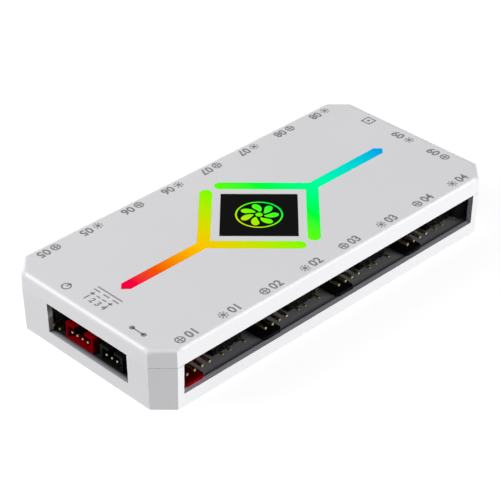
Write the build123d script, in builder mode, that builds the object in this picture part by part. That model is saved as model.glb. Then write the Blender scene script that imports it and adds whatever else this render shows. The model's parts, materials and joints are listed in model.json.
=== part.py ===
from build123d import *
import os
from math import cos, radians, sin, sqrt, tan

# Fan and lighting hub for a computer case, in millimetres.
# The origin is at the middle of the underside, +X runs along the case and +Z is up.
# Two moulded shells close on a board that carries a header behind every window.
os.makedirs("parts", exist_ok=True)

# Header rows along the case
pin_pitch = 2.54
port_pitch = 13.62
ports_per_side = 8
end_port_pitch = 13.2

# Case outline, taken at the parting line between the shells
row_end_margin = 14.18
row_side_margin = 15.85
length = (ports_per_side - 1) * port_pitch + 2 * row_end_margin
width = 2 * end_port_pitch + 2 * row_side_margin
height = 18.1
parting_height = 12.85
corner_cut = 5.15
wall = 1.7
floor_thickness = 1.3
roof_thickness = 1.8
tray_draft = 1.5
cover_draft = 2.0
top_round = 0.85
rim_break = 0.12
corner_slope = 2 - sqrt(2)

# Locating lip of the cover, inside the corners of the tray
lip_thickness = 0.9
lip_height = 1.2
lip_root = 1.4
lip_clearance = 0.15

# Board
board_thickness = 1.6
board_gap = 0.9
board_edge_clearance = 0.12
board_bottom = floor_thickness + board_gap
board_top = board_bottom + board_thickness
board_inset = wall + parting_height * tan(radians(tray_draft)) + board_edge_clearance
board_rest_side = 4.0
board_rest_spacing = 40.0
solder_fit = 0.04
leg_tail = 0.6

# Corner posts of the cover, and the screws from below into two of them
post_inset = 6.1
screw_shank_diameter = 2.4
screw_head_diameter = 4.4
screw_head_height = 1.1
screw_recess = 0.15
screw_length = 11.0
screw_cross_length = 2.6
screw_cross_width = 0.55
screw_cross_depth = 0.6
screw_fit = 0.02
screw_clearance = 0.3
pilot_spare = 1.0
post_diameter = 4.8
post_rib = 1.0
foot_side = 6.4

# Pins and fan headers, set back from the inner face of the wall
fan_pins = 4
fan_pin_size = 0.64
fan_pin_height = 3.2
fan_tip_setback = 0.5
fan_pin_reach = 6.25
fan_block_depth = 3.3
fan_block_height = 5.1
fan_tongue_width = 6.4
fan_tongue_start = 1.25
fan_tongue_thickness = 1.0
fan_tongue_overhang = 0.7
fan_tongue_clearance = 0.1
fan_tongue_corner = 0.7
fan_block_bevel = 0.5

# Bare pin strips for the lighting and switch ports
strip_pin_size = 0.5
strip_depth = 2.54
strip_notch = 0.75
strip_notch_turn = 45
led_positions = 4
led_blank = 2
led_strip_height = 2.54
led_pin_height = 1.27
led_tip_setback = 1.98
led_pin_reach = 2.69
switch_positions = 2
switch_strip_height = 3.3
switch_pin_height = 2.0
switch_tip_overhang = 0.5
switch_pin_reach = 6.0

# Boxed headers for the supply and the board link
box_pitch = 2.0
box_end = 2.2
box_height = 4.9
box_depth = 7.6
box_wall = 0.75
box_cavity = 5.8
box_pin_size = 0.5
box_pin_height = 2.5
box_pin_short = 0.05
box_setback = 0.3
box_slit = 0.4
box_slit_depth = 3.0
box_notch_depth = 3.4
power_pins = 4
link_pins = 3

# Details that every pin shares
pin_fit = 0.02
pin_tip_taper = 0.15
leg_setback = 0.9

# Places of the headers in the left end, from the back to the front
power_place = 4.2
power_to_switch_gap = 0.51
power_to_link_gap = 2.8

# Windows in the tray walls, closed above by the rim of the cover
sill_rise = 0.1
long_window_margin = 1.8
right_window_margin = 1.5
left_window_back_margin = 0.4
left_window_front_margin = 4.0

# Light guides and the centre tile
guide_width = 3.44
guide_tip_inset = 12.85
guide_diagonal = 20.45
guide_fork_gap = 2.0
lay_angle = 45
guide_fit = 0.04
guide_flange = 0.6
guide_flange_thickness = 0.8
skirt_fit = 0.1
skirt_wall = 0.9
skirt_clearance = 0.5
tile_side = 20.75
tile_thickness = 1.0
tile_fit = 0.06
tile_bevel = 0.12

# Parts on the board
led_side = 3.5
led_height = 1.4
led_spacing = 8.5
leds_per_stem = 3
leds_per_arm = 2
chip_side = 10.0
chip_height = 1.4
chip_bevel = 0.25
capacitor_diameter = 6.3
capacitor_height = 7.2
capacitor_base = 6.6
capacitor_base_height = 0.8
capacitor_bevel = 0.6
capacitor_end_inset = 19.85
capacitor_side_offset = 9.5

# Sizes that follow
fan_width = fan_pins * pin_pitch
switch_width = switch_positions * pin_pitch
power_width = (power_pins - 1) * box_pitch + 2 * box_end
link_width = (link_pins - 1) * box_pitch + 2 * box_end
switch_place = power_place + power_width / 2 + power_to_switch_gap + switch_width / 2
link_place = power_place - power_width / 2 - power_to_link_gap - link_width / 2
long_window = (ports_per_side - 1) * port_pitch + fan_width + 2 * long_window_margin
right_window = 2 * end_port_pitch + fan_width + 2 * right_window_margin
left_window_back = switch_place + (switch_positions - 1) * pin_pitch / 2 + left_window_back_margin
left_window_front = link_place - link_width / 2 - left_window_front_margin
left_window = left_window_back - left_window_front
left_window_middle = (left_window_back + left_window_front) / 2
sill_height = board_top + sill_rise
window_height = parting_height - sill_height
post_x = length / 2 - post_inset
post_y = width / 2 - post_inset
post_places = [(x, y) for x in (-post_x, post_x) for y in (-post_y, post_y)]
screw_places = [(-post_x, post_y), (post_x, -post_y)]
screw_head_base = screw_recess + screw_head_height
screw_tip = screw_head_base + screw_length
roof_underside = height - roof_thickness
guide_underside = roof_underside - guide_flange_thickness
guide_reach = length / 2 - guide_tip_inset
guide_arm = (guide_diagonal - (guide_fork_gap + guide_width) / 2) / cos(radians(lay_angle))
flange_half = guide_width / 2 + guide_flange
skirt_bottom = board_top + fan_block_height + skirt_clearance
parting_plane = Plane.XY.offset(parting_height)


def case_outline(plane, inset):
    """The case's rectangle with cut corners, its faces moved in by inset."""
    with BuildSketch(plane) as outline:
        Rectangle(length - 2 * inset, width - 2 * inset)
        chamfer(outline.vertices(), corner_cut - inset * corner_slope)
    return outline.sketch


def corner_ring(plane, inset, thickness):
    """A ring along the case's outline, left only where no window opens the wall."""
    with BuildSketch(plane) as ring:
        Rectangle(length - 2 * inset, width - 2 * inset)
        chamfer(ring.vertices(), corner_cut - inset * corner_slope)
        offset(amount=-thickness, kind=Kind.INTERSECTION, mode=Mode.SUBTRACT)
        Rectangle(long_window + 2 * lip_clearance, width, mode=Mode.SUBTRACT)
        with Locations((length / 4, 0)):
            Rectangle(length / 2, right_window + 2 * lip_clearance, mode=Mode.SUBTRACT)
        with Locations((-length / 4, left_window_middle)):
            Rectangle(length / 2, left_window + 2 * lip_clearance, mode=Mode.SUBTRACT)
    return ring.sketch


def light_path(plane, side, half_width, arm_shape, arm_length):
    """A stem with a pointed end that forks into two arms of the given shape."""
    growth = half_width - guide_width / 2
    shoulder = guide_reach - guide_width / 2 + growth * tan(radians(lay_angle / 2))
    arm_x = guide_diagonal - guide_arm / 2 * cos(radians(lay_angle))
    arm_y = guide_arm / 2 * sin(radians(lay_angle))
    with BuildSketch(plane) as path:
        with BuildLine():
            Polyline(
                (side * guide_diagonal, -half_width),
                (side * shoulder, -half_width),
                (side * (shoulder + half_width), 0),
                (side * shoulder, half_width),
                (side * guide_diagonal, half_width),
                close=True,
            )
        make_face()
        for turn in (-1, 1):
            with Locations((side * arm_x, turn * arm_y)):
                arm_shape(arm_length, 2 * half_width, rotation=-side * turn * lay_angle)
    return path.sketch


# Lower tray: drafted walls, open windows, board rests and recessed screw seats
with BuildPart() as lower_tray:
    extrude(case_outline(parting_plane, 0), amount=-parting_height, taper=tray_draft)
    chamfer(lower_tray.faces().sort_by(Axis.Z)[-1].edges(), rim_break)
    extrude(
        case_outline(parting_plane, wall),
        amount=floor_thickness - parting_height,
        taper=tray_draft,
        mode=Mode.SUBTRACT,
    )
    with BuildSketch(Plane.XY.offset(sill_height)):
        Rectangle(long_window, width)
        with Locations((length / 4, 0)):
            Rectangle(length / 2, right_window)
        with Locations((-length / 4, left_window_middle)):
            Rectangle(length / 2, left_window)
    extrude(amount=window_height, mode=Mode.SUBTRACT)
    with BuildSketch(Plane.XY.offset(floor_thickness)):
        with Locations(*post_places):
            Rectangle(foot_side, foot_side)
        with GridLocations(board_rest_spacing, 0, 2, 1):
            Rectangle(board_rest_side, board_rest_side)
    extrude(amount=board_gap)
    with Locations(*[(x, y, 0) for x, y in screw_places]):
        with Locations(Rot(180, 0, 0)):
            CounterBoreHole(
                radius=screw_shank_diameter / 2 + screw_clearance,
                counter_bore_radius=screw_head_diameter / 2 + screw_clearance,
                counter_bore_depth=screw_head_base,
                depth=board_bottom,
            )
lower_tray.part.label = "lower_tray"
export_step(lower_tray.part, "parts/lower_tray.step")


# Upper cover: rounded top edge, light slots with skirts, tile pocket, corner lip and screw posts
with BuildPart() as upper_cover:
    extrude(case_outline(parting_plane, 0), amount=height - parting_height, taper=cover_draft)
    fillet(upper_cover.faces().sort_by(Axis.Z)[-1].edges(), top_round)
    chamfer(upper_cover.faces().sort_by(Axis.Z)[0].edges(), rim_break)
    extrude(
        case_outline(parting_plane, wall),
        amount=roof_underside - parting_height,
        taper=cover_draft,
        mode=Mode.SUBTRACT,
    )
    lip_band = wall / 2 + lip_clearance + lip_thickness
    extrude(corner_ring(parting_plane, wall / 2, lip_band), amount=lip_root)
    lip_plane = parting_plane.offset(-lip_height)
    extrude(corner_ring(lip_plane, wall + lip_clearance, lip_thickness), amount=lip_height + lip_root)
    with BuildSketch(Plane.XY.offset(board_top)):
        with Locations(*post_places):
            Circle(post_diameter / 2)
    extrude(amount=roof_underside - board_top)
    with BuildSketch(Plane.XY.offset(parting_height + lip_root)):
        for end in (-1, 1):
            with Locations(*[(end * (length - post_inset) / 2, y) for y in (-post_y, post_y)]):
                Rectangle(post_inset - wall, post_rib)
    extrude(amount=roof_underside - parting_height - lip_root)
    with BuildSketch(Plane.XY.offset(board_top)):
        with Locations(*screw_places):
            Circle(screw_shank_diameter / 2 + screw_fit)
    extrude(amount=screw_tip + pilot_spare - board_top, mode=Mode.SUBTRACT)
    skirt_plane = Plane.XY.offset(skirt_bottom)
    skirt_gap = skirt_fit + skirt_wall
    for side in (-1, 1):
        skirt_arm = guide_arm + 2 * skirt_gap
        skirt = light_path(skirt_plane, side, flange_half + skirt_gap, Rectangle, skirt_arm)
        extrude(skirt, amount=roof_underside - skirt_bottom)
    for side in (-1, 1):
        chamber_arm = guide_arm + 2 * skirt_fit
        chamber = light_path(skirt_plane, side, flange_half + skirt_fit, Rectangle, chamber_arm)
        extrude(chamber, amount=roof_underside - skirt_bottom, mode=Mode.SUBTRACT)
        slot_width = guide_width + 2 * guide_fit
        slot_plane = Plane.XY.offset(roof_underside)
        slot = light_path(slot_plane, side, slot_width / 2, SlotOverall, guide_arm + slot_width)
        extrude(slot, amount=roof_thickness, mode=Mode.SUBTRACT)
    with BuildSketch(Plane.XY.offset(height)):
        Rectangle(tile_side + 2 * tile_fit, tile_side + 2 * tile_fit, rotation=lay_angle)
    extrude(amount=-tile_thickness, mode=Mode.SUBTRACT)
upper_cover.part.label = "upper_cover"
export_step(upper_cover.part, "parts/upper_cover.step")


# Light guides: flush forks with a flange glued under the roof
for side, name in ((-1, "light_guide_left"), (1, "light_guide_right")):
    with BuildPart() as light_guide:
        flange = light_path(Plane.XY.offset(guide_underside), side, flange_half, Rectangle, guide_arm)
        extrude(flange, amount=guide_flange_thickness)
        guide_plane = Plane.XY.offset(roof_underside)
        guide = light_path(guide_plane, side, guide_width / 2, SlotOverall, guide_arm + guide_width)
        extrude(guide, amount=roof_thickness)
    light_guide.part.label = name
    export_step(light_guide.part, f"parts/{name}.step")


# Centre tile: a gloss square set on its corner
with BuildPart() as centre_tile:
    with BuildSketch(Plane.XY.offset(height - tile_thickness)):
        Rectangle(tile_side, tile_side, rotation=lay_angle)
    extrude(amount=tile_thickness)
    chamfer(centre_tile.faces().sort_by(Axis.Z)[-1].edges(), tile_bevel)
centre_tile.part.label = "centre_tile"
export_step(centre_tile.part, "parts/centre_tile.step")


# Headers are drawn once each, with the board's top at zero, the face towards -Y
# and the first pin to the left as seen from outside the case.
def bent_pin(size, tip, leg, rise):
    """A square pin with a tapered tip that turns down through the board."""
    half = size / 2
    foot = -board_thickness - leg_tail
    with BuildPart() as pin:
        with BuildSketch(Plane.YZ):
            with BuildLine():
                Polyline(
                    (tip, rise - half),
                    (leg - half, rise - half),
                    (leg - half, foot),
                    (leg + half, foot),
                    (leg + half, rise + half),
                    (tip, rise + half),
                    close=True,
                )
            make_face()
        extrude(amount=half, both=True)
        chamfer(pin.faces().sort_by(Axis.Y)[0].edges(), pin_tip_taper)
    return pin.part


def pin_row(pin, places):
    """Copies of one pin, side by side as separate solids."""
    with BuildPart() as row:
        with Locations(*[(x, 0, 0) for x in places]):
            add(pin)
    return row.part


def pin_holes(size, rise, places, depth):
    """Square passages for a row of pins, from the face inwards."""
    with BuildSketch(Plane.XZ) as holes:
        with Locations(*[(x, rise) for x in places]):
            Rectangle(size + 2 * pin_fit, size + 2 * pin_fit)
    extrude(holes.sketch, amount=-depth, mode=Mode.SUBTRACT)


def row_places(count, pitch, blank=None):
    """Places of the pins in a row, with one left out if the row has a blank."""
    return [(i - (count - 1) / 2) * pitch for i in range(count) if i != blank]


fan_places = row_places(fan_pins, pin_pitch)
led_places = row_places(led_positions, pin_pitch, led_blank)
switch_places = row_places(switch_positions, pin_pitch)
power_places = row_places(power_pins, box_pitch)
link_places = row_places(link_pins, box_pitch)
fan_leg = fan_block_depth + leg_setback
strip_leg = strip_depth + leg_setback
box_leg = box_depth + leg_setback


# Fan header: a block with a flat tongue lying under the pins
fan_tongue_length = fan_pin_reach + fan_tongue_overhang
fan_tongue_middle = fan_places[0] - fan_tongue_start + fan_tongue_width / 2
with BuildPart() as fan_header:
    with BuildSketch(Plane.XY):
        with Locations((0, fan_block_depth / 2)):
            Rectangle(fan_width, fan_block_depth)
    extrude(amount=fan_block_height)
    chamfer(fan_header.faces().sort_by(Axis.Z)[-1].edges().sort_by(Axis.Y)[-1], fan_block_bevel)
    with BuildSketch(Plane.XY.offset(sill_rise + fan_tongue_clearance)) as tongue:
        with Locations((fan_tongue_middle, -fan_tongue_length / 2)):
            Rectangle(fan_tongue_width, fan_tongue_length)
        chamfer(tongue.vertices().group_by(Axis.Y)[0], fan_tongue_corner)
    extrude(amount=fan_tongue_thickness)
    pin_holes(fan_pin_size, fan_pin_height, fan_places, fan_block_depth)
fan_pin = bent_pin(fan_pin_size, -fan_pin_reach, fan_leg, fan_pin_height)


def strip_header(positions, places, strip_height, pin_height):
    """A strip of square insulators with break notches between them."""
    notches = [(x, z) for x in row_places(positions - 1, pin_pitch) for z in (0, strip_height)]
    with BuildPart() as strip:
        with BuildSketch(Plane.XZ):
            with Locations((0, strip_height / 2)):
                Rectangle(positions * pin_pitch, strip_height)
            with Locations(*notches):
                Rectangle(strip_notch, strip_notch, rotation=strip_notch_turn, mode=Mode.SUBTRACT)
        extrude(amount=-strip_depth)
        pin_holes(strip_pin_size, pin_height, places, strip_depth)
    return strip.part


def box_header(count, places):
    """An open box round its pins, with a key notch on top and a slit in each side."""
    across = (count - 1) * box_pitch + 2 * box_end
    with BuildPart() as box:
        with BuildSketch(Plane.XZ):
            with Locations((0, box_height / 2)):
                Rectangle(across, box_height)
        extrude(amount=-box_depth)
        with BuildSketch(Plane.XZ):
            with Locations((0, box_height / 2)):
                Rectangle(across - 2 * box_wall, box_height - 2 * box_wall)
        extrude(amount=-box_cavity, mode=Mode.SUBTRACT)
        with BuildSketch(Plane.XZ):
            with Locations((0, box_height - box_wall / 2)):
                Rectangle((count - 2) * box_pitch, box_wall)
        extrude(amount=-box_notch_depth, mode=Mode.SUBTRACT)
        with BuildSketch(Plane.XZ):
            with Locations((0, box_height / 2)):
                Rectangle(across, box_slit)
        extrude(amount=-box_slit_depth, mode=Mode.SUBTRACT)
        pin_holes(box_pin_size, box_pin_height, places, box_depth)
    return box.part


led_header = strip_header(led_positions, led_places, led_strip_height, led_pin_height)
led_pin = bent_pin(strip_pin_size, -led_pin_reach, strip_leg, led_pin_height)
switch_header = strip_header(switch_positions, switch_places, switch_strip_height, switch_pin_height)
switch_pin = bent_pin(strip_pin_size, -switch_pin_reach, strip_leg, switch_pin_height)
box_pin = bent_pin(box_pin_size, box_pin_short, box_leg, box_pin_height)

fan_kit = (fan_header.part, pin_row(fan_pin, fan_places), fan_places, fan_leg, fan_pin_size)
led_kit = (led_header, pin_row(led_pin, led_places), led_places, strip_leg, strip_pin_size)
switch_kit = (
    switch_header,
    pin_row(switch_pin, switch_places),
    switch_places,
    strip_leg,
    strip_pin_size,
)
power_kit = (
    box_header(power_pins, power_places),
    pin_row(box_pin, power_places),
    power_places,
    box_leg,
    box_pin_size,
)
link_kit = (
    box_header(link_pins, link_places),
    pin_row(box_pin, link_places),
    link_places,
    box_leg,
    box_pin_size,
)

# How far the face of each header lies behind the outside of its wall
fan_face = wall + fan_tip_setback + fan_pin_reach
led_face = wall + led_tip_setback + led_pin_reach
switch_face = wall - switch_tip_overhang + switch_pin_reach
box_face = wall + box_setback


def front_place(x, face):
    """A place in the front wall."""
    return Location((x, face - width / 2, board_top))


def back_place(x, face):
    """A place in the back wall."""
    return Location((x, width / 2 - face, board_top), (0, 0, 180))


def left_place(y, face):
    """A place in the left end."""
    return Location((face - length / 2, y, board_top), (0, 0, -90))


def right_place(y, face):
    """A place in the right end."""
    return Location((length / 2 - face, y, board_top), (0, 0, 90))


# Every port of the hub: name, header kit and place
ports = []
row_x = row_places(ports_per_side, port_pitch)
pairs = ports_per_side // 2
for row, place in enumerate((front_place, back_place)):
    for pair in range(pairs):
        number = row * pairs + pair + 1
        ports.append((f"fan_{{}}_{number}", fan_kit, place(row_x[2 * pair], fan_face)))
        ports.append((f"led_{{}}_{number}", led_kit, place(row_x[2 * pair + 1], led_face)))
last = 2 * pairs + 1
ports.append((f"fan_{{}}_{last}", fan_kit, right_place(-end_port_pitch, fan_face)))
ports.append((f"led_{{}}_{last}", led_kit, right_place(0, led_face)))
ports.append(("panel_{}", switch_kit, right_place(end_port_pitch, switch_face)))
ports.append(("switch_{}", switch_kit, left_place(switch_place, switch_face)))
ports.append(("power_{}", power_kit, left_place(power_place, box_face)))
ports.append(("link_{}", link_kit, left_place(link_place, box_face)))

for name, kit, place in ports:
    for piece, solid in (("header", kit[0]), ("pins", kit[1])):
        with BuildPart() as placed:
            with Locations(place):
                add(solid)
        placed.part.label = name.format(piece)
        export_step(placed.part, f"parts/{name.format(piece)}.step")


# Board with a passage for every leg and a hole for each screw
with BuildPart() as main_board:
    extrude(case_outline(Plane.XY.offset(board_bottom), board_inset), amount=board_thickness)
    with BuildSketch(Plane.XY.offset(board_bottom)):
        for name, kit, place in ports:
            leg_holes = [place * Location((x, kit[3], 0)) for x in kit[2]]
            with Locations(*[(hole.position.X, hole.position.Y) for hole in leg_holes]):
                Rectangle(kit[4] + 2 * solder_fit, kit[4] + 2 * solder_fit)
        with Locations(*screw_places):
            Circle(screw_shank_diameter / 2 + screw_clearance)
    extrude(amount=board_thickness, mode=Mode.SUBTRACT)
main_board.part.label = "main_board"
export_step(main_board.part, "parts/main_board.step")


# Lighting LEDs under the stems and arms of the guides
led_spots = []
for side in (-1, 1):
    for step in range(leds_per_stem):
        led_spots.append((side * (guide_diagonal + step * led_spacing), 0))
    for step in range(1, leds_per_arm + 1):
        along_x = step * led_spacing * cos(radians(lay_angle))
        along_y = step * led_spacing * sin(radians(lay_angle))
        led_spots += [(side * (guide_diagonal - along_x), turn * along_y) for turn in (-1, 1)]
with BuildPart() as lighting_leds:
    with BuildSketch(Plane.XY.offset(board_top)):
        with Locations(*led_spots):
            Rectangle(led_side, led_side)
    extrude(amount=led_height)
lighting_leds.part.label = "lighting_leds"
export_step(lighting_leds.part, "parts/lighting_leds.step")


# Controller chip with a bevelled top
with BuildPart() as controller_chip:
    with BuildSketch(Plane.XY.offset(board_top)):
        Rectangle(chip_side, chip_side)
    extrude(amount=chip_height)
    chamfer(controller_chip.faces().sort_by(Axis.Z)[-1].edges(), chip_bevel)
controller_chip.part.label = "controller_chip"
export_step(controller_chip.part, "parts/controller_chip.step")


# Supply capacitor: a can on a square base
capacitor_place = (capacitor_end_inset - length / 2, capacitor_side_offset)
with BuildPart() as supply_capacitor:
    with BuildSketch(Plane.XY.offset(board_top)):
        with Locations(capacitor_place):
            Rectangle(capacitor_base, capacitor_base)
    extrude(amount=capacitor_base_height)
    with BuildSketch(Plane.XY.offset(board_top + capacitor_base_height)):
        with Locations(capacitor_place):
            Circle(capacitor_diameter / 2)
    extrude(amount=capacitor_height - capacitor_base_height)
    chamfer(supply_capacitor.faces().sort_by(Axis.Z)[-1].edges(), capacitor_bevel)
supply_capacitor.part.label = "supply_capacitor"
export_step(supply_capacitor.part, "parts/supply_capacitor.step")


# Case screws: pan heads with a cross recess, shanks up into the posts
with BuildPart() as case_screws:
    with BuildSketch(Plane.XY.offset(screw_recess)):
        with Locations(*screw_places):
            Circle(screw_head_diameter / 2)
    extrude(amount=screw_head_height)
    with BuildSketch(Plane.XY.offset(screw_head_base)):
        with Locations(*screw_places):
            Circle(screw_shank_diameter / 2)
    extrude(amount=screw_length)
    with BuildSketch(Plane.XY.offset(screw_recess)):
        with Locations(*screw_places):
            Rectangle(screw_cross_length, screw_cross_width)
            Rectangle(screw_cross_width, screw_cross_length)
    extrude(amount=screw_cross_depth, mode=Mode.SUBTRACT)
case_screws.part.label = "case_screws"
export_step(case_screws.part, "parts/case_screws.step")
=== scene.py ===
import json
from math import cos, pi, radians, sin, tan

import bpy
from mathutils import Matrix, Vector


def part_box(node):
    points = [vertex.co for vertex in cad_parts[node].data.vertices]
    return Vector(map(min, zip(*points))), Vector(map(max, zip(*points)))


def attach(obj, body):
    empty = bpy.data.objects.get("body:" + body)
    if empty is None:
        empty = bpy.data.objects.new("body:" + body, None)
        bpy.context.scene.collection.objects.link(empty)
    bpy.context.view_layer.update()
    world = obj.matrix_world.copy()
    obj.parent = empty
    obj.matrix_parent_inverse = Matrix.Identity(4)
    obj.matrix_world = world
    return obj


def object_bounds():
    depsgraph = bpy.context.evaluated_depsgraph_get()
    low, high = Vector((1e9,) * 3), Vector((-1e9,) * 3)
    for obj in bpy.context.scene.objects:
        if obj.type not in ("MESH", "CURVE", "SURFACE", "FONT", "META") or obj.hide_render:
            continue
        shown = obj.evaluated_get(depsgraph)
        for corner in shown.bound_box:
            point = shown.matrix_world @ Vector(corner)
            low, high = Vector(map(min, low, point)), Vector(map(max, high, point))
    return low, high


# Looks of the fan and lighting hub, in metres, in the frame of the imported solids.
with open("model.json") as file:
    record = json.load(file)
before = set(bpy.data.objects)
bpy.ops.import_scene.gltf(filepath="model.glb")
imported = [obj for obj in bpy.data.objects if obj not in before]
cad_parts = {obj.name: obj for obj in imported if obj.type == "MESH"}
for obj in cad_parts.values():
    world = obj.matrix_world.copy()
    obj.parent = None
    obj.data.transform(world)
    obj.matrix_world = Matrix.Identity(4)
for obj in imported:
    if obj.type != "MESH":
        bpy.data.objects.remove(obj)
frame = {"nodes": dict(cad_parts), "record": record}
cad_low, cad_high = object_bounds()
nodes = frame["nodes"]
scene = bpy.context.scene
scene.view_settings.view_transform = "Standard"

MM = 0.001

# Case sizes, read from the frame or shared with the solids
half_length = cad_high.x
half_width = cad_high.y
case_top = cad_high.z
parting_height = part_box("lower_tray")[1].z
board_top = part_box("main_board")[1].z
guide_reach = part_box("light_guide_right")[1].x
roof_underside = case_top - 1.8 * MM
floor_top = 1.3 * MM
wall = 1.7 * MM
corner_cut = 5.15 * MM
sill_top = board_top + 0.1 * MM
seam_break = 0.12 * MM
tray_lean = tan(radians(1.5))
cover_lean = tan(radians(2.0))

# Zones of the white shell: where each begins to show and where it shows in full
below_roof = (roof_underside + 0.3 * MM, roof_underside + 0.1 * MM)
above_floor = (floor_top - 0.3 * MM, floor_top - 0.1 * MM)
below_parting = (parting_height + seam_break, parting_height + 0.9 * seam_break)
below_sill = (sill_top + 0.3 * MM, sill_top + 0.2 * MM)
end_zone = (3.2 * wall, 3.0 * wall)
# The seam zone places painted shade on the tray's bevel along the parting line and on the jambs of
# the end windows.
seam_zone = (0.2 * seam_break, 0.8 * seam_break)
cut_zone = (1.1 * seam_break, 2.0 * seam_break)
# Painted shade darkens the sills of the end windows across the wall's thickness.
end_sill_shade_zone = (0.5 * seam_break, 0.85 * wall)
# Painted shade makes the shell dark inside the case.
inside_shade_zone = (wall - 0.3 * MM, wall)
# The edge and corner zones place a painted highlight on the case's top edges, kept off the cut
# corners.
edge_highlight_zone = (0.85 * MM, 0.45 * MM)
highlight_side_weight = 1.5
highlight_corner_zone = (1.0 * MM, 1.6 * MM)

# Skin of the white shell: its gloss, its rolled end edges and its fine grain
shell_rough = (0.46, 0.54)
seam_rough = 0.9
roll_depth = 0.25 * MM
roll_zone = (0.25 * MM, 1.45 * MM)
roll_end_zone = (4.5 * MM, 1.5 * MM)
shell_grain = 0.003 * MM

# Other finishes: the usual range of a noise, the lit pieces and the board
noise_range = (0.2, 0.8)
lit_body_dim = 0.96
# Over this zone painted shade darkens the board towards the case's ends.
end_shade_zone = (5.0 * MM, 10.0 * MM)
track_show = 0.2
board_rough = (0.5, 0.65)

# Light along the case: a plain rainbow, placed by shares of the guides' reach
light_colours = (
    (-0.9, (240, 0, 60)),
    (-0.75, (240, 80, 0)),
    (-0.45, (255, 190, 0)),
    (0.0, (100, 255, 0)),
    (0.2, (0, 255, 50)),
    (0.45, (0, 255, 155)),
    (0.7, (0, 220, 205)),
    (1.0, (0, 150, 235)),
)

# Print on the top
ink_rise = 0.02 * MM
sign_size = 2.8 * MM
figure_height = 2.75 * MM
ink_stroke = 0.4 * MM
sign_place = -2.25 * MM
figure_place = 1.8 * MM
mark_spacing = 1.065
side_mark_inset = 2.95 * MM
end_mark_inset = 3.95 * MM
switch_shift = -1.85 * MM
supply_rows = (8.75 * MM, 6.55 * MM, 4.45 * MM)
supply_shift = -4.0 * MM
link_shift = -8.3 * MM
pole_pitch = 2.2 * MM
line_length = 4.2 * pole_pitch
dash_pitch = 1.6 * pole_pitch
fan_stroke = 0.9 * ink_stroke

# Size and weight of the type, as shares of a figure's height
type_size = 1.37
type_weight = 0.035

# Signs, as shares of half their size
fan_boss = 0.22
fan_tip = 0.8
fan_root = 0.12
fan_blades = 4
lamp_bulb = 0.44
ray_place = 0.82
ray_length = 0.36
ray_count = 8
panel_dot = 0.36
switch_bar = 1.1
switch_bar_place = 0.56
line_place = 0.5
dash_place = -0.4
pin_figure = 1.4
link_dot = 0.55
link_reach = 1.5

# Blades of a rotor: shares of their room and of their length, and their bend and turn
blade_length = 0.92
blade_width = 0.5
blade_taper = 0.8
blade_curl = radians(55)
blade_turn = radians(25)

# Emblem on the tile
emblem_radius = 6.4 * MM
emblem_hub = 1.35 * MM
emblem_line = 0.45 * MM
emblem_blades = 7
emblem_boss = 0.72 * emblem_hub
emblem_gap = 1.5 * emblem_line

# Small parts on the board
lens_radius = 1.3 * MM
lens_rise = 0.15 * MM
lens_rim = 0.2 * lens_rise
lens_steps = ((0.1, 0.4), (0.25, 0.3), (0.4, 0.1))  # shares of the radius and the rise
lens_smooth = radians(40)
lead_pitch = 0.8 * MM
leads_per_side = 11
lead_width = 0.32 * MM
lead_thickness = 0.12 * MM
lead_run = 0.55 * MM

# Slack for seams that are joined, and for faces that count as level
seam_merge = 0.001 * MM
level_slack = 0.01 * MM
level_normal = 0.9

# Camera, fitted to the photograph
camera_place = Vector((-0.295828, -0.295021, 0.286716))
camera_tilt = radians(56.174)
camera_turn = radians(-44.747)
camera_sensor = 36.0
camera_lens = 134.29
camera_near = 0.01

# Studio
lamp_distance = 2.4
lamp_width = 1.6
world_fill = 0.12
floor_size = 6.0
floor_glow = 1.13
floor_glow_share = 0.82


def screen(red, green, blue):
    """A colour from 0 to 255, as a screen shows it, in the linear values that Blender takes."""
    shares = [value / 255 for value in (red, green, blue)]
    linear = [s / 12.92 if s <= 0.04045 else ((s + 0.055) / 1.055) ** 2.4 for s in shares]
    return (*linear, 1.0)


# Shader building blocks
def feed(tree, socket, value):
    """Links a socket into an input, or sets a plain value on it."""
    if isinstance(value, bpy.types.NodeSocket):
        tree.links.new(value, socket)
    else:
        socket.default_value = value


def put(tree, kind, inputs=None, **settings):
    """Adds a shader node with its settings and inputs."""
    node = tree.nodes.new(kind)
    for name, value in settings.items():
        setattr(node, name, value)
    for name, value in (inputs or {}).items():
        feed(tree, node.inputs[name], value)
    return node


def reckon(tree, operation, first, second=0.0):
    """One sum on two values."""
    return put(tree, "ShaderNodeMath", {0: first, 1: second}, operation=operation).outputs[0]


def product(tree, *masks):
    """Masks multiplied together."""
    result = masks[0]
    for mask in masks[1:]:
        result = reckon(tree, "MULTIPLY", result, mask)
    return result


def blend(tree, factor, first, second):
    """Two colours mixed by a factor."""
    inputs = {0: factor, 6: first, 7: second}
    return put(tree, "ShaderNodeMix", inputs, data_type="RGBA").outputs[2]


def spread(tree, value, low, high, to_low=0.0, to_high=1.0, kind="LINEAR"):
    """A value moved from one range to another and held inside it."""
    inputs = {"Value": value, "From Min": low, "From Max": high}
    inputs.update({"To Min": to_low, "To Max": to_high})
    return put(tree, "ShaderNodeMapRange", inputs, interpolation_type=kind).outputs["Result"]


def new_group(name, inputs, outputs):
    """An empty shader group with named values going in and coming out."""
    group = bpy.data.node_groups.new(name, "ShaderNodeTree")
    for socket_name, value in inputs.items():
        socket = group.interface.new_socket(
            socket_name, in_out="INPUT", socket_type="NodeSocketFloat"
        )
        socket.default_value = value
    for socket_name, kind in outputs.items():
        group.interface.new_socket(socket_name, in_out="OUTPUT", socket_type=kind)
    return group, put(group, "NodeGroupInput"), put(group, "NodeGroupOutput")


def place_group(tree, group, inputs=None):
    """A group set into a material with that material's own values."""
    return put(tree, "ShaderNodeGroup", inputs, node_tree=group).outputs


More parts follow.
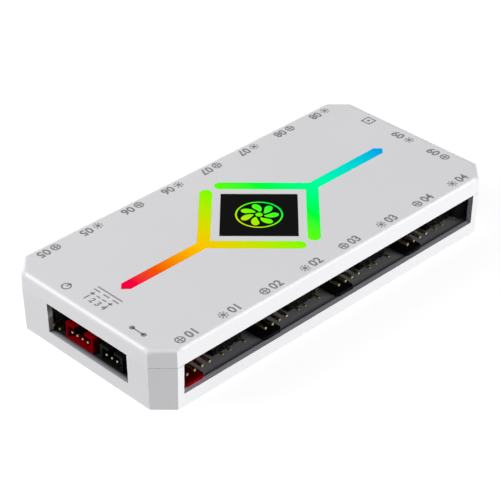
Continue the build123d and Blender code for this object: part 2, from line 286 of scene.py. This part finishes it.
def make_moulded_grain():
    """Slow mottling and a fine grain, as on moulded plastic, ink and plating."""
    group, given, result = new_group(
        "moulded_grain",
        {"Grain size": 0.3 * MM, "Mottle size": 20 * MM},
        {"Mottle": "NodeSocketFloat", "Grain": "NodeSocketFloat"},
    )
    where = put(group, "ShaderNodeTexCoord").outputs["Object"]
    for name in ("Mottle", "Grain"):
        scale = reckon(group, "DIVIDE", 1.0, given.outputs[f"{name} size"])
        noise = put(group, "ShaderNodeTexNoise", {"Vector": where, "Scale": scale, "Detail": 3.0})
        group.links.new(noise.outputs["Fac"], result.inputs[name])
    return group


def make_depth_in_case():
    """How far a point lies behind the leaning walls, the ends and the cut corners, and how high."""
    names = ("Depth", "From end", "From corner", "Height")
    group, _, result = new_group("depth_in_case", {}, dict.fromkeys(names, "NodeSocketFloat"))
    where = put(group, "ShaderNodeTexCoord").outputs["Object"]
    part = put(group, "ShaderNodeSeparateXYZ", {0: where})
    x = reckon(group, "ABSOLUTE", part.outputs["X"])
    y = reckon(group, "ABSOLUTE", part.outputs["Y"])
    from_end = reckon(group, "SUBTRACT", half_length, x)
    from_side = reckon(group, "SUBTRACT", half_width, y)
    corner_sum = half_length + half_width - corner_cut
    across = reckon(group, "SUBTRACT", corner_sum, reckon(group, "ADD", x, y))
    from_corner = reckon(group, "MULTIPLY", across, cos(radians(45)))
    nearest_wall = reckon(group, "MINIMUM", from_end, from_side)
    nearest = reckon(group, "MINIMUM", nearest_wall, from_corner)
    above = reckon(group, "SUBTRACT", part.outputs["Z"], parting_height)
    tray = reckon(group, "MULTIPLY", above, -tray_lean)
    cover = reckon(group, "MULTIPLY", above, cover_lean)
    depth = reckon(group, "SUBTRACT", nearest, reckon(group, "MAXIMUM", tray, cover))
    for name, value in zip(names, (depth, from_end, from_corner, part.outputs["Z"])):
        group.links.new(value, result.inputs[name])
    return group


def make_light_sweep():
    """The rainbow that runs along the case, squeezed where a smaller piece shows more of it."""
    group, given, result = new_group(
        "light_sweep", {"Squeeze": 1.0}, {"Colour": "NodeSocketColor"}
    )
    where = put(group, "ShaderNodeTexCoord").outputs["Object"]
    along = put(group, "ShaderNodeSeparateXYZ", {0: where}).outputs["X"]
    squeezed = reckon(group, "MULTIPLY", along, given.outputs["Squeeze"])
    share = spread(group, squeezed, -guide_reach, guide_reach)
    ramp = put(group, "ShaderNodeValToRGB", {"Fac": share})
    elements = ramp.color_ramp.elements
    while len(elements) < len(light_colours):
        elements.new(0.5)
    for element, (place, colour) in zip(elements, light_colours):
        element.position = (1 + place) / 2
        element.color = screen(*colour)
    group.links.new(ramp.outputs["Color"], result.inputs["Colour"])
    return group


moulded_grain = make_moulded_grain()
depth_in_case = make_depth_in_case()
light_sweep = make_light_sweep()


# Finishes
def new_finish(name, constants):
    """A material with one Principled shader whose plain values are set on its own sockets."""
    material = bpy.data.materials.new(name)
    material.use_nodes = True
    shader = material.node_tree.nodes["Principled BSDF"]
    for socket, value in constants.items():
        shader.inputs[socket].default_value = value
    return material, material.node_tree, shader


def set_relief(tree, shader, height, strength, depth):
    """Relief from a height value."""
    bump = put(tree, "ShaderNodeBump", {"Height": height, "Strength": strength, "Distance": depth})
    tree.links.new(bump.outputs["Normal"], shader.inputs["Normal"])


def grain_of(tree, grain_size, mottle_size):
    """The shared grain at a material's own scale."""
    return place_group(tree, moulded_grain, {"Grain size": grain_size, "Mottle size": mottle_size})


def vary_gloss(tree, shader, mottle, rough, change):
    """Roughness that goes up with the mottling, or down where the change is negative."""
    roughness = spread(tree, mottle, *noise_range, rough - change, rough + change)
    tree.links.new(roughness, shader.inputs["Roughness"])


def plastic_finish(name, light, dark, rough, grain_size, relief, gloss):
    """A moulded plastic or ink that varies a little in tone and gloss."""
    material, tree, shader = new_finish(name, {"Specular IOR Level": gloss})
    grain = grain_of(tree, grain_size, mottle_size=9 * MM)
    tree.links.new(blend(tree, grain["Mottle"], dark, light), shader.inputs["Base Color"])
    vary_gloss(tree, shader, grain["Mottle"], rough, change=0.06)
    set_relief(tree, shader, grain["Grain"], relief, depth=0.05 * MM)
    return material


def metal_finish(name, light, dark, rough, grain_size):
    """Plated metal, tarnished in patches."""
    material, tree, shader = new_finish(name, {"Metallic": 1.0})
    grain = grain_of(tree, grain_size, mottle_size=2.5 * MM)
    tree.links.new(blend(tree, grain["Mottle"], dark, light), shader.inputs["Base Color"])
    vary_gloss(tree, shader, grain["Mottle"], rough, change=-0.1)
    set_relief(tree, shader, grain["Grain"], strength=0.05, depth=0.02 * MM)
    return material


def sunk_finish(name, metallic, mouth, inside, start, end, rough):
    """A finish that is bright at the mouth of a port and darkens into the case by painted shade."""
    constants = {"Metallic": metallic, "Specular IOR Level": 0.0}
    material, tree, shader = new_finish(name, constants)
    grain = grain_of(tree, grain_size=0.2 * MM, mottle_size=5 * MM)
    depth = place_group(tree, depth_in_case)["Depth"]
    sway = spread(tree, grain["Mottle"], *noise_range, to_low=0.9, to_high=1.1)
    # Painted shade: the colour darkens with depth into the case.
    shade_fall = spread(tree, reckon(tree, "MULTIPLY", sway, depth), start, end)
    tree.links.new(blend(tree, shade_fall, mouth, inside), shader.inputs["Base Color"])
    vary_gloss(tree, shader, grain["Mottle"], rough, change=0.06)
    set_relief(tree, shader, grain["Grain"], strength=0.08, depth=0.04 * MM)
    return material


def lit_finish(name, glow, squeeze, rough):
    """Milky plastic or print lit from behind, its colour running along the case."""
    constants = {"Specular IOR Level": 0.0, "Emission Strength": glow}
    material, tree, shader = new_finish(name, constants)
    grain = grain_of(tree, grain_size=0.4 * MM, mottle_size=6 * MM)
    sweep = place_group(tree, light_sweep, {"Squeeze": squeeze})["Colour"]
    body = blend(tree, lit_body_dim, sweep, screen(0, 0, 0))
    tree.links.new(body, shader.inputs["Base Color"])
    tree.links.new(sweep, shader.inputs["Emission Color"])
    vary_gloss(tree, shader, grain["Mottle"], rough, change=0.05)
    return material


def shell_finish():
    """White satin plastic with rolled edges and a painted highlight along its top edges, with
    painted shade on the seam and in the end windows, and painted shade inside the case.
    """
    material, tree, shader = new_finish("white_shell", {"Specular IOR Level": 0.3})
    grain = grain_of(tree, grain_size=0.45 * MM, mottle_size=26 * MM)
    white = blend(tree, grain["Mottle"], screen(228, 228, 230), screen(234, 234, 236))
    place = place_group(tree, depth_in_case)
    depth, from_end, height = place["Depth"], place["From end"], place["Height"]

    under_roof = spread(tree, height, *below_roof)
    over_floor = spread(tree, height, *above_floor)
    in_tray = spread(tree, height, *below_parting)
    at_sill = spread(tree, height, *below_sill)
    near_end = spread(tree, from_end, *end_zone)
    clear_of_end = spread(tree, from_end, *reversed(end_zone))
    # Painted shade: a darker joint on the tray's bevel that mutes the light the bevel catches, also
    # lying on the end windows' jambs.
    seam_shade = product(tree, spread(tree, depth, *seam_zone), in_tray, over_floor)
    cut = product(tree, spread(tree, depth, *cut_zone), seam_shade, clear_of_end)
    # Painted shade: the end windows' sills darken from their outer edge inwards.
    end_sill_shade = product(tree, spread(tree, depth, *end_sill_shade_zone), near_end, at_sill, over_floor)
    # Painted shade: faces inside the case are dark.
    inside = product(tree, spread(tree, depth, *inside_shade_zone), under_roof, over_floor)

    under_top = reckon(tree, "SUBTRACT", case_top, height)
    down_side = reckon(tree, "MULTIPLY", depth, highlight_side_weight)
    edge_highlight = spread(tree, reckon(tree, "MAXIMUM", down_side, under_top), *edge_highlight_zone)
    highlight_off_corner = spread(tree, place["From corner"], *highlight_corner_zone)
    # Painted highlight: the top edges are lighter, away from the cut corners.
    tone = blend(tree, product(tree, edge_highlight, highlight_off_corner), white, screen(252, 252, 252))
    # Painted shade on the seam and on the end windows' jambs.
    tone = blend(tree, seam_shade, tone, screen(180, 180, 184))
    tone = blend(tree, cut, tone, screen(236, 234, 246))
    # Painted shade on the end windows' sills.
    tone = blend(tree, end_sill_shade, tone, screen(88, 88, 94))
    # Painted shade inside the case.
    tone = blend(tree, inside, tone, screen(34, 34, 36))
    tree.links.new(tone, shader.inputs["Base Color"])
    satin = spread(tree, grain["Grain"], *noise_range, *shell_rough)
    roughness = reckon(tree, "MAXIMUM", satin, reckon(tree, "MULTIPLY", seam_shade, seam_rough))
    tree.links.new(roughness, shader.inputs["Roughness"])

    from_edge = reckon(tree, "MAXIMUM", depth, under_top)
    roll = spread(tree, from_edge, *roll_zone, -roll_depth, 0.0, "SMOOTHSTEP")
    end_roll = product(tree, roll, spread(tree, from_end, *roll_end_zone))
    fine = reckon(tree, "MULTIPLY", grain["Grain"], shell_grain)
    set_relief(tree, shader, reckon(tree, "ADD", end_roll, fine), strength=1.0, depth=1.0)
    return material


def board_finish():
    """Matte solder mask with painted shade that darkens it towards the case's ends, and tracks that
    just show.
    """
    material, tree, shader = new_finish("board", {"Specular IOR Level": 0.1})
    grain = grain_of(tree, grain_size=0.3 * MM, mottle_size=12 * MM)
    where = put(tree, "ShaderNodeTexCoord").outputs["Object"]
    tracks = put(
        tree,
        "ShaderNodeTexBrick",
        {
            "Vector": where,
            "Scale": 1.0,
            "Mortar Size": 0.06 * MM,
            "Brick Width": 9 * MM,
            "Row Height": 1.1 * MM,
        },
    ).outputs["Fac"]
    # Painted shade: the board darkens towards the case's ends.
    clear_of_end_shade = spread(tree, place_group(tree, depth_in_case)["From end"], *end_shade_zone)
    mask = blend(tree, grain["Mottle"], screen(160, 160, 166), screen(172, 172, 178))
    seen = reckon(tree, "MULTIPLY", tracks, track_show)
    tracked = blend(tree, seen, mask, screen(190, 190, 192))
    # The dark colour is the painted shade near the ends.
    tone = blend(tree, clear_of_end_shade, screen(38, 38, 40), tracked)
    tree.links.new(tone, shader.inputs["Base Color"])
    roughness = spread(tree, grain["Mottle"], *noise_range, *board_rough)
    tree.links.new(roughness, shader.inputs["Roughness"])
    set_relief(tree, shader, tracks, strength=0.1, depth=0.03 * MM)
    return material


finishes = {
    "white_shell": shell_finish(),
    "warm_light": lit_finish("warm_light", glow=1.0, squeeze=1.0, rough=0.45),
    "cool_light": lit_finish("cool_light", glow=1.0, squeeze=1.0, rough=0.45),
    "black_tile": plastic_finish(
        "black_tile",
        light=screen(19, 19, 19),
        dark=screen(15, 15, 15),
        rough=0.3,
        grain_size=0.3 * MM,
        relief=0.02,
        gloss=0.005,
    ),
    "board": board_finish(),
    "black_header": plastic_finish(
        "black_header",
        light=screen(17, 17, 18),
        dark=screen(12, 12, 13),
        rough=0.5,
        grain_size=0.25 * MM,
        relief=0.1,
        gloss=0.05,
    ),
    # The red header darkens into the case by painted shade.
    "red_header": sunk_finish(
        "red_header",
        metallic=0.0,
        mouth=screen(126, 0, 8),
        inside=screen(84, 0, 5),
        start=1.9 * MM,
        end=4.5 * MM,
        rough=0.5,
    ),
    "pin_metal": metal_finish(
        "pin_metal",
        light=screen(208, 192, 142),
        dark=screen(162, 146, 102),
        rough=0.4,
        grain_size=0.15 * MM,
    ),
    "led_body": plastic_finish(
        "led_body",
        light=screen(232, 230, 222),
        dark=screen(222, 219, 208),
        rough=0.4,
        grain_size=0.2 * MM,
        relief=0.05,
        gloss=0.3,
    ),
    "chip": plastic_finish(
        "chip",
        light=screen(34, 34, 36),
        dark=screen(26, 26, 28),
        rough=0.55,
        grain_size=0.12 * MM,
        relief=0.2,
        gloss=0.1,
    ),
    "capacitor_can": metal_finish(
        "capacitor_can",
        light=screen(196, 197, 200),
        dark=screen(160, 161, 165),
        rough=0.35,
        grain_size=0.2 * MM,
    ),
    "screw_steel": metal_finish(
        "screw_steel",
        light=screen(178, 179, 182),
        dark=screen(136, 137, 141),
        rough=0.35,
        grain_size=0.2 * MM,
    ),
}
grey_ink = plastic_finish(
    "grey_ink",
    light=screen(148, 148, 153),
    dark=screen(138, 138, 143),
    rough=0.6,
    grain_size=0.2 * MM,
    relief=0.05,
    gloss=0.05,
)
lit_print = lit_finish("lit_print", glow=1.0, squeeze=1.9, rough=0.45)
lit_lens = lit_finish("lit_lens", glow=0.5, squeeze=1.0, rough=0.3)
# Pins that darken into the case by painted shade.
boxed_pin = sunk_finish(
    "boxed_pin",
    metallic=1.0,
    mouth=screen(216, 202, 164),
    inside=screen(52, 34, 22),
    start=2.2 * MM,
    end=2.6 * MM,
    rough=0.4,
)
switch_pin = sunk_finish(
    "switch_pin",
    metallic=1.0,
    mouth=screen(170, 146, 100),
    inside=screen(84, 54, 28),
    start=1.5 * MM,
    end=1.9 * MM,
    rough=0.4,
)
own_finish = {"power_pins": boxed_pin, "link_pins": boxed_pin, "switch_pins": switch_pin}

for subpart in frame["record"]["subparts"]:
    node = subpart["node"]
    for material_slot in nodes[node].material_slots:
        material_slot.material = own_finish.get(node, finishes[subpart["material_slot"]])


# Modelling by hand
def start_fresh():
    """Nothing selected, so that an operator acts only on what is added next."""
    if bpy.context.object and bpy.context.object.mode != "OBJECT":
        bpy.ops.object.mode_set(mode="OBJECT")
    bpy.ops.object.select_all(action="DESELECT")


def pick(piece):
    """Selects one piece alone and makes it active."""
    start_fresh()
    piece.select_set(True)
    bpy.context.view_layer.objects.active = piece
    return piece


def settle(piece):
    """Puts a piece's place, turn and size into its mesh."""
    pick(piece)
    bpy.ops.object.transform_apply(location=True, rotation=True, scale=True)
    return piece


def close_up(piece):
    """Joins the seams of a mesh and points its faces outwards."""
    pick(piece)
    bpy.ops.object.mode_set(mode="EDIT")
    bpy.ops.mesh.select_all(action="SELECT")
    bpy.ops.mesh.remove_doubles(threshold=seam_merge)
    bpy.ops.mesh.dissolve_degenerate(threshold=seam_merge)
    bpy.ops.mesh.select_all(action="SELECT")
    bpy.ops.mesh.normals_make_consistent(inside=False)
    bpy.ops.object.mode_set(mode="OBJECT")
    return piece


def raise_faces(piece, rise):
    """Extrudes the flat faces of a piece upwards."""
    pick(piece)
    bpy.ops.object.mode_set(mode="EDIT")
    bpy.ops.mesh.select_all(action="SELECT")
    bpy.ops.mesh.extrude_region_move(TRANSFORM_OT_translate={"value": (0, 0, rise)})
    bpy.ops.object.mode_set(mode="OBJECT")
    return close_up(piece)


def copy_of(piece):
    """A copy with its own mesh."""
    twin = piece.copy()
    twin.data = piece.data.copy()
    scene.collection.objects.link(twin)
    return twin


def join(pieces, name):
    """Several bits as one piece."""
    start_fresh()
    for piece in pieces:
        piece.select_set(True)
    bpy.context.view_layer.objects.active = pieces[0]
    bpy.ops.object.join()
    joined = bpy.context.object
    joined.name = name
    joined.data.name = name
    return joined


def dress(piece, finish):
    """Gives a finished piece its material and fixes it to the case."""
    piece.data.materials.clear()
    piece.data.materials.append(finish)
    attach(piece, "root")
    return piece


def flat_bar(across, along, x=0.0, y=0.0, turn=0.0):
    """A bar of ink."""
    start_fresh()
    bpy.ops.mesh.primitive_plane_add(size=1, location=(x, y, 0), rotation=(0, 0, turn))
    bar = bpy.context.object
    bar.scale = (across, along, 1)
    return raise_faces(settle(bar), ink_rise)


def flat_disc(radius, x=0.0, y=0.0, sides=24):
    """A disc of ink."""
    start_fresh()
    bpy.ops.mesh.primitive_circle_add(
        vertices=sides, radius=radius, fill_type="NGON", location=(x, y, 0)
    )
    return raise_faces(settle(bpy.context.object), ink_rise)


def flat_ring(radius, stroke, x=0.0, y=0.0, sides=32):
    """A ring of ink: a disc whose middle is inset and taken out."""
    start_fresh()
    bpy.ops.mesh.primitive_circle_add(
        vertices=sides, radius=radius, fill_type="NGON", location=(x, y, 0)
    )
    ring = pick(settle(bpy.context.object))
    bpy.ops.object.mode_set(mode="EDIT")
    bpy.ops.mesh.select_all(action="SELECT")
    bpy.ops.mesh.inset(thickness=stroke, depth=0)
    bpy.ops.mesh.delete(type="FACE")
    bpy.ops.object.mode_set(mode="OBJECT")
    return raise_faces(ring, ink_rise)


def deform(piece, method, axis, amount):
    """Tapers or bends a flat piece."""
    pick(piece)
    modifier = piece.modifiers.new("deform", "SIMPLE_DEFORM")
    modifier.deform_method = method
    modifier.deform_axis = axis
    if method == "TAPER":
        modifier.factor = amount
    else:
        modifier.angle = amount
    bpy.ops.object.modifier_apply(modifier=modifier.name)


def rotor_blade(length):
    """One fan blade along X: an oval, wider outside and curled."""
    start_fresh()
    bpy.ops.mesh.primitive_circle_add(vertices=28, radius=0.5, fill_type="NGON")
    blade = bpy.context.object
    blade.scale = (length, length * blade_width, 1)
    settle(blade)
    deform(blade, "TAPER", "X", blade_taper)
    deform(blade, "BEND", "Z", blade_curl)
    return raise_faces(blade, ink_rise)


def rotor(radius, hub, count, x=0.0):
    """Blades set evenly round a hub."""
    length = (radius - hub) * blade_length
    reach = hub + length / 2
    pattern = rotor_blade(length)
    blades = []
    for step in range(count):
        turn = step * 2 * pi / count
        blade = copy_of(pattern)
        blade.location = (x + reach * cos(turn), reach * sin(turn), 0)
        blade.rotation_euler = (0, 0, turn + blade_turn)
        blades.append(settle(blade))
    bpy.data.objects.remove(pattern)
    return blades


def figures(text, height, x=0.0, y=0.0):
    """Plain figures of ink, centred on their place."""
    start_fresh()
    bpy.ops.object.text_add(location=(0, 0, 0))
    words = bpy.context.object.data
    words.body = text
    words.align_x = "CENTER"
    words.align_y = "CENTER"
    words.size = height * type_size
    words.offset = height * type_weight
    words.extrude = ink_rise / 2
    words.resolution_u = 4
    bpy.ops.object.convert(target="MESH")
    done = bpy.context.object
    done.location = (x, y, ink_rise / 2)
    return close_up(settle(done))


# Marks beside the ports: a sign for the kind of port and its number
def fan_sign(x=0.0):
    """A rotor in a ring."""
    radius = sign_size / 2
    bits = [flat_ring(radius, fan_stroke, x), flat_disc(radius * fan_boss, x, sides=12)]
    return bits + rotor(radius * fan_tip, radius * fan_root, fan_blades, x)


def lamp_sign(x=0.0):
    """A disc with rays."""
    radius = sign_size / 2
    place = radius * ray_place
    bits = [flat_disc(radius * lamp_bulb, x)]
    for ray in range(ray_count):
        turn = ray * 2 * pi / ray_count
        ray_x = x + place * cos(turn)
        ray_y = place * sin(turn)
        bits.append(flat_bar(radius * ray_length, ink_stroke, ray_x, ray_y, turn))
    return bits


def set_mark(bits, name, x, y, turn):
    """Joins a mark, turns it to be read from its side and lays it on the top."""
    mark = join(bits, name)
    mark.location = (x, y, case_top)
    mark.rotation_euler = (0, 0, turn)
    dress(settle(mark), grey_ink)


def middle(node):
    """The middle of a node's box."""
    low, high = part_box(node)
    return (low + high) / 2


def mark_ports():
    """A numbered sign beside every fan and lighting port."""
    signs = {"fan": fan_sign, "led": lamp_sign}
    for count in range(1, 10):
        for kind, sign in signs.items():
            bits = sign(sign_place) + [figures(f"{count:02d}", figure_height, figure_place)]
            place = middle(f"{kind}_pins_{count}")
            name = f"{kind}_mark_{count}"
            if count == 9:
                set_mark(bits, name, half_length - end_mark_inset, place.y, pi / 2)
            elif place.y < 0:
                set_mark(bits, name, place.x * mark_spacing, side_mark_inset - half_width, 0)
            else:
                set_mark(bits, name, place.x * mark_spacing, half_width - side_mark_inset, pi)


def mark_ends():
    """Signs for the panel, switch, supply and link ports in the two ends."""
    half = sign_size / 2
    panel = [flat_bar(sign_size, ink_stroke, 0, y) for y in (-half, half)]
    panel += [flat_bar(ink_stroke, sign_size + ink_stroke, x, 0) for x in (-half, half)]
    panel.append(flat_disc(half * panel_dot))
    set_mark(panel, "panel_mark", half_length - end_mark_inset, middle("panel_pins").y, pi / 2)

    from_left = -pi / 2
    switch = [flat_ring(half, ink_stroke)]
    switch.append(flat_bar(ink_stroke, half * switch_bar, 0, half * switch_bar_place))
    switch_y = middle("switch_pins").y + switch_shift
    set_mark(switch, "switch_mark", end_mark_inset - half_length, switch_y, from_left)

    direct = [flat_bar(line_length, ink_stroke, 0, half * line_place)]
    for step in (-1, 0, 1):
        direct.append(flat_bar(pole_pitch, ink_stroke, step * dash_pitch, half * dash_place))
    poles = []
    numbers = []
    for step in range(4):
        x = (step - 1.5) * pole_pitch
        poles.append(flat_bar(half, ink_stroke, x))
        if step in (0, 3):
            poles.append(flat_bar(ink_stroke, half, x))
        numbers.append(figures(str(step + 1), half * pin_figure, x))
    supply_y = middle("power_pins").y + supply_shift
    rows = {"supply_mark": direct, "polarity_mark": poles, "pin_mark": numbers}
    for (name, bits), inset in zip(rows.items(), supply_rows):
        set_mark(bits, name, inset - half_length, supply_y, from_left)

    link_end = half * link_reach
    link = [flat_disc(half * link_dot, side * link_end, sides=16) for side in (-1, 1)]
    link.append(flat_bar(2 * link_end, ink_stroke))
    link_y = middle("link_pins").y + link_shift
    set_mark(link, "link_mark", end_mark_inset - half_length, link_y, from_left)


def print_emblem():
    """A plain rotor in a ring, lit, on the tile."""
    bits = [flat_ring(emblem_radius, emblem_line, sides=64), flat_disc(emblem_boss)]
    bits += rotor(emblem_radius - emblem_gap, emblem_hub, emblem_blades)
    emblem = join(bits, "tile_emblem")
    emblem.location = (0, 0, case_top)
    dress(settle(emblem), lit_print)


mark_ports()
mark_ends()
print_emblem()


# Small parts on the board
def led_places():
    """The middles of the LEDs' tops, from the flat faces of their node."""
    mesh = nodes["lighting_leds"].data
    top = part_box("lighting_leds")[1].z
    places = []
    for face in mesh.polygons:
        if face.normal.z > level_normal and face.center.z > top - level_slack:
            corners = [mesh.vertices[index].co for index in face.vertices]
            x = (min(c.x for c in corners) + max(c.x for c in corners)) / 2
            y = (min(c.y for c in corners) + max(c.y for c in corners)) / 2
            if all(abs(x - place.x) + abs(y - place.y) > lens_radius for place in places):
                places.append(Vector((x, y, top)))
    return places


def set_lenses():
    """A low domed lens in the top of each LED."""
    start_fresh()
    bpy.ops.mesh.primitive_circle_add(vertices=20, radius=lens_radius, fill_type="NGON")
    pattern = pick(bpy.context.object)
    bpy.ops.object.mode_set(mode="EDIT")
    bpy.ops.mesh.select_all(action="SELECT")
    bpy.ops.mesh.extrude_region_move(TRANSFORM_OT_translate={"value": (0, 0, lens_rim)})
    for shrink, rise in lens_steps:
        bpy.ops.mesh.inset(thickness=lens_radius * shrink, depth=lens_rise * rise)
    bpy.ops.object.mode_set(mode="OBJECT")
    close_up(pattern)
    lenses = []
    for place in led_places():
        lens = copy_of(pattern)
        lens.location = place
        lenses.append(settle(lens))
    bpy.data.objects.remove(pattern)
    piece = dress(join(lenses, "led_lenses"), lit_lens)
    bpy.ops.object.shade_smooth_by_angle(angle=lens_smooth)


def lead_pattern(start, height):
    """One gull-wing lead, stepping down from the chip's side to the board."""
    start_fresh()
    bpy.ops.mesh.primitive_plane_add(size=1, location=(start, 0, height))
    lead = bpy.context.object
    lead.scale = (lead_run / 2, lead_width, 1)
    pick(settle(lead))
    drop = board_top + lead_thickness / 2 - height
    mesh = lead.data
    for step in ((lead_run / 2, 0, 0), (lead_run / 3, 0, drop), (lead_run, 0, 0)):
        end = max(vertex.co.x for vertex in mesh.vertices)
        for face in mesh.polygons:
            face.select = False
        for vertex in mesh.vertices:
            vertex.select = abs(vertex.co.x - end) < lead_thickness / 10
        for edge in mesh.edges:
            edge.select = all(mesh.vertices[index].select for index in edge.vertices)
        bpy.ops.object.mode_set(mode="EDIT")
        bpy.ops.mesh.extrude_edges_move(TRANSFORM_OT_translate={"value": step})
        bpy.ops.object.mode_set(mode="OBJECT")
    thickness = lead.modifiers.new("thickness", "SOLIDIFY")
    thickness.thickness = lead_thickness
    thickness.offset = 0
    bpy.ops.object.modifier_apply(modifier=thickness.name)
    return lead


def set_leads():
    """Rows of leads on the four sides of the controller chip."""
    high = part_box("controller_chip")[1]
    pattern = lead_pattern(high.x, (board_top + high.z) / 2)
    leads = []
    for side in range(4):
        turn = side * pi / 2
        for step in range(leads_per_side):
            along = (step - (leads_per_side - 1) / 2) * lead_pitch
            lead = copy_of(pattern)
            lead.location = (-along * sin(turn), along * cos(turn), 0)
            lead.rotation_euler = (0, 0, turn)
            leads.append(settle(lead))
    bpy.data.objects.remove(pattern)
    dress(join(leads, "chip_leads"), finishes["pin_metal"])


set_lenses()
set_leads()


# Stage: floor, world, lamps and camera
def show_white(tree, shown, lit):
    """Shows one shader to the camera, gloss and glass, and lights the object with another."""
    ray = put(tree, "ShaderNodeLightPath").outputs
    seen = reckon(tree, "MAXIMUM", ray["Is Camera Ray"], ray["Is Glossy Ray"])
    seen = reckon(tree, "MAXIMUM", seen, ray["Is Transmission Ray"])
    return put(tree, "ShaderNodeMixShader", {0: seen, 1: lit, 2: shown}).outputs[0]


def set_floor():
    """A wide white floor that keeps a faint shadow."""
    start_fresh()
    bpy.ops.mesh.primitive_plane_add(size=floor_size, location=(0, 0, 0))
    floor = bpy.context.object
    floor.name = "floor"
    material = bpy.data.materials.new("white_floor")
    material.use_nodes = True
    tree = material.node_tree
    tree.nodes.remove(tree.nodes["Principled BSDF"])
    paint = put(tree, "ShaderNodeBsdfDiffuse", {"Color": screen(232, 232, 232)}).outputs[0]
    shade = put(tree, "ShaderNodeBsdfDiffuse", {"Color": screen(160, 160, 160)}).outputs[0]
    glow = put(tree, "ShaderNodeEmission", {"Strength": floor_glow}).outputs[0]
    mixed = {0: floor_glow_share, 1: paint, 2: glow}
    shown = put(tree, "ShaderNodeMixShader", mixed).outputs[0]
    surface = tree.nodes["Material Output"].inputs["Surface"]
    tree.links.new(show_white(tree, shown, shade), surface)
    floor.data.materials.append(material)


def set_world():
    """White behind the object, and a soft fill from all round."""
    world = bpy.data.worlds.new("studio")
    world.use_nodes = True
    scene.world = world
    tree = world.node_tree
    shown, fill = (
        put(tree, "ShaderNodeBackground", {"Strength": level, "Color": (1, 1, 1, 1)}).outputs[0]
        for level in (1.0, world_fill)
    )
    surface = tree.nodes["World Output"].inputs["Surface"]
    tree.links.new(show_white(tree, shown, fill), surface)


def set_lamp(name, direction, tall, power):
    """A wide lamp that looks at the object, and that no gloss mirrors as glare."""
    away = Vector(direction).normalized()
    bpy.ops.object.light_add(type="AREA", location=away * lamp_distance)
    lamp = bpy.context.object
    lamp.name = name
    lamp.data.shape = "RECTANGLE"
    lamp.data.size = lamp_width
    lamp.data.size_y = tall
    lamp.data.energy = power
    lamp.rotation_euler = away.to_track_quat("Z", "Y").to_euler()
    lamp.visible_camera = False
    lamp.visible_glossy = False


def set_camera():
    """The camera at the photograph's place."""
    bpy.ops.object.camera_add(location=camera_place, rotation=(camera_tilt, 0, camera_turn))
    camera = bpy.context.object
    camera.data.sensor_width = camera_sensor
    camera.data.lens = camera_lens
    camera.data.clip_start = camera_near
    scene.camera = camera


set_floor()
set_world()
set_lamp("front_lamp", (0.45, -1.0, 0.11), tall=0.25, power=62.5)
set_lamp("end_lamp", (-1.0, 0.93, 0.93), tall=0.8, power=61.5)
set_lamp("back_lamp", (1.0, 1.0, 0.1), tall=0.25, power=30.0)
set_camera()
